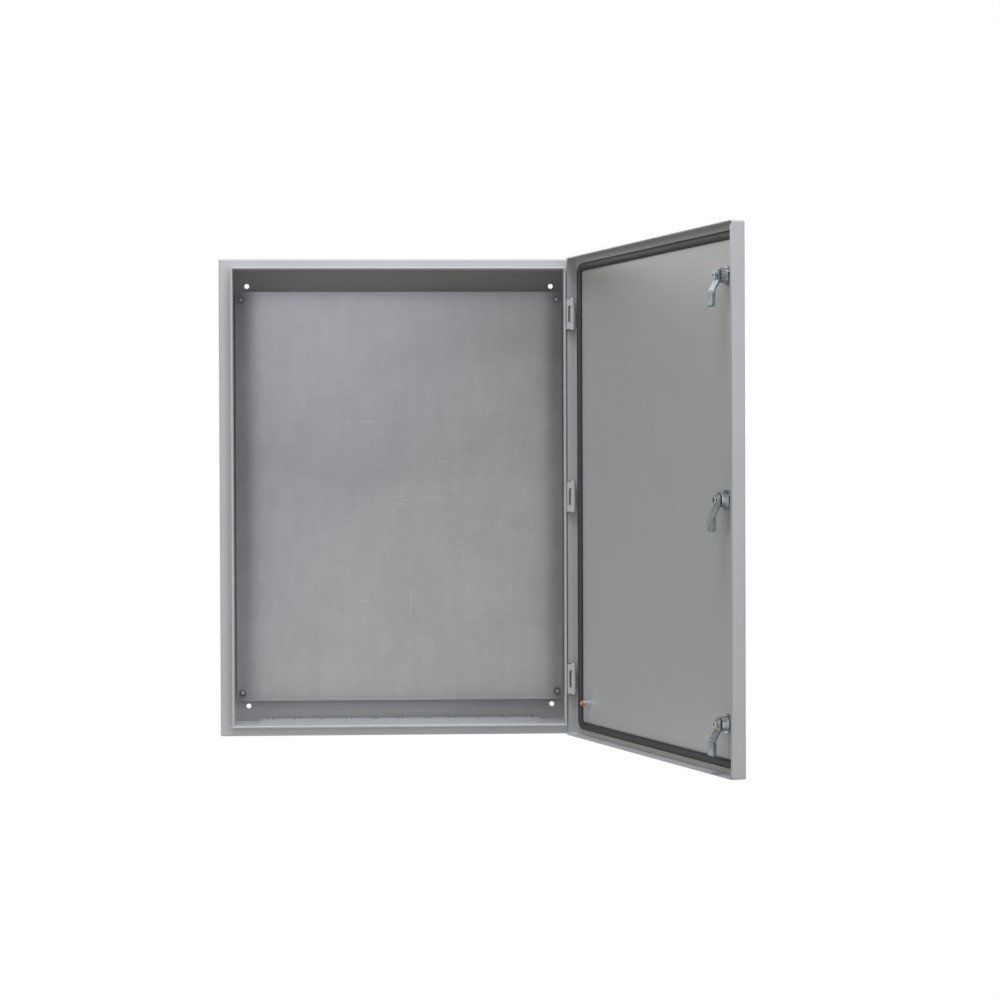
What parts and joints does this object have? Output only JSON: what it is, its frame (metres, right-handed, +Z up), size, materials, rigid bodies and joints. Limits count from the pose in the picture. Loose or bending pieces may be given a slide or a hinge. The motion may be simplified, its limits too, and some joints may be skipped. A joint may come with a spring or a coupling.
{
  "type": "steel wall enclosure",
  "caption": "Wall-mounted steel electrical enclosure: folded box with sealing lip, mounting plate and gland plate, and a gasketed hinged door with quarter-turn locks.",
  "frame": {"origin": "middle of the four wall-hole pattern, on the outer face of the back wall", "axes": "+Z up, -Y out of the wall towards the door's side, +X towards the hinge side; the door stands open 109.5 degrees"},
  "size_m": [0.7993, 0.8019, 0.8],
  "materials": {
    "grey_paint": "light grey textured powder coat, semi-gloss",
    "galvanised": "galvanised sheet, faint spangle and rolling lines",
    "zinc_plated": "bright zinc plating",
    "lock_zinc": "bright nickel or zinc plating on die-cast zinc",
    "black_foam": "foamed polyurethane seal, matt",
    "copper": "copper-plated steel"
  },
  "bodies": {
    "enclosure": {"enclosure_body": "grey_paint", "mounting_plate": "galvanised", "plate_studs": "zinc_plated", "plate_sleeves": "zinc_plated", "plate_washers": "zinc_plated", "plate_nuts": "zinc_plated", "gland_plate": "grey_paint", "gland_gasket": "black_foam", "gland_screws": "zinc_plated", "body_hinge_top": "grey_paint", "body_hinge_middle": "grey_paint", "body_hinge_bottom": "grey_paint", "hinge_screws": "zinc_plated"},
    "door": {"door_panel": "grey_paint", "door_gasket": "black_foam", "door_hinge_top": "grey_paint", "door_hinge_middle": "grey_paint", "door_hinge_bottom": "grey_paint", "hinge_pin_top": "zinc_plated", "hinge_pin_middle": "zinc_plated", "hinge_pin_bottom": "zinc_plated", "earth_stud": "copper", "earth_washers": "zinc_plated", "earth_nuts": "zinc_plated", "lock_housing_top": "lock_zinc", "lock_seal_top": "black_foam", "lock_nut_top": "lock_zinc", "lock_housing_middle": "lock_zinc", "lock_seal_middle": "black_foam", "lock_nut_middle": "lock_zinc", "lock_housing_bottom": "lock_zinc", "lock_seal_bottom": "black_foam", "lock_nut_bottom": "lock_zinc"},
    "lock_top": {"lock_insert_top": "lock_zinc", "lock_cam_top": "lock_zinc", "cam_washer_top": "zinc_plated", "cam_screw_top": "zinc_plated"},
    "lock_middle": {"lock_insert_middle": "lock_zinc", "lock_cam_middle": "lock_zinc", "cam_washer_middle": "zinc_plated", "cam_screw_middle": "zinc_plated"},
    "lock_bottom": {"lock_insert_bottom": "lock_zinc", "lock_cam_bottom": "lock_zinc", "cam_washer_bottom": "zinc_plated", "cam_screw_bottom": "zinc_plated"}
  },
  "joints": [
    {"name": "door_hinge", "type": "hinge", "parent": "enclosure", "child": "door", "pos_m": [0.2925, -0.2395, 0], "axis": [0, 0, 1], "range_deg": [-109.5, 10.5]},
    {"name": "lock_turn_top", "type": "hinge", "parent": "door", "child": "lock_top", "pos_m": [0.48299, -0.74596, 0.325], "axis": [-0.9426, -0.3338, 0], "range_deg": [0, 90]},
    {"name": "lock_turn_middle", "type": "hinge", "parent": "door", "child": "lock_middle", "pos_m": [0.48299, -0.74596, 0], "axis": [-0.9426, -0.3338, 0], "range_deg": [0, 90]},
    {"name": "lock_turn_bottom", "type": "hinge", "parent": "door", "child": "lock_bottom", "pos_m": [0.48299, -0.74596, -0.325], "axis": [-0.9426, -0.3338, 0], "range_deg": [0, 90]}
  ]
}
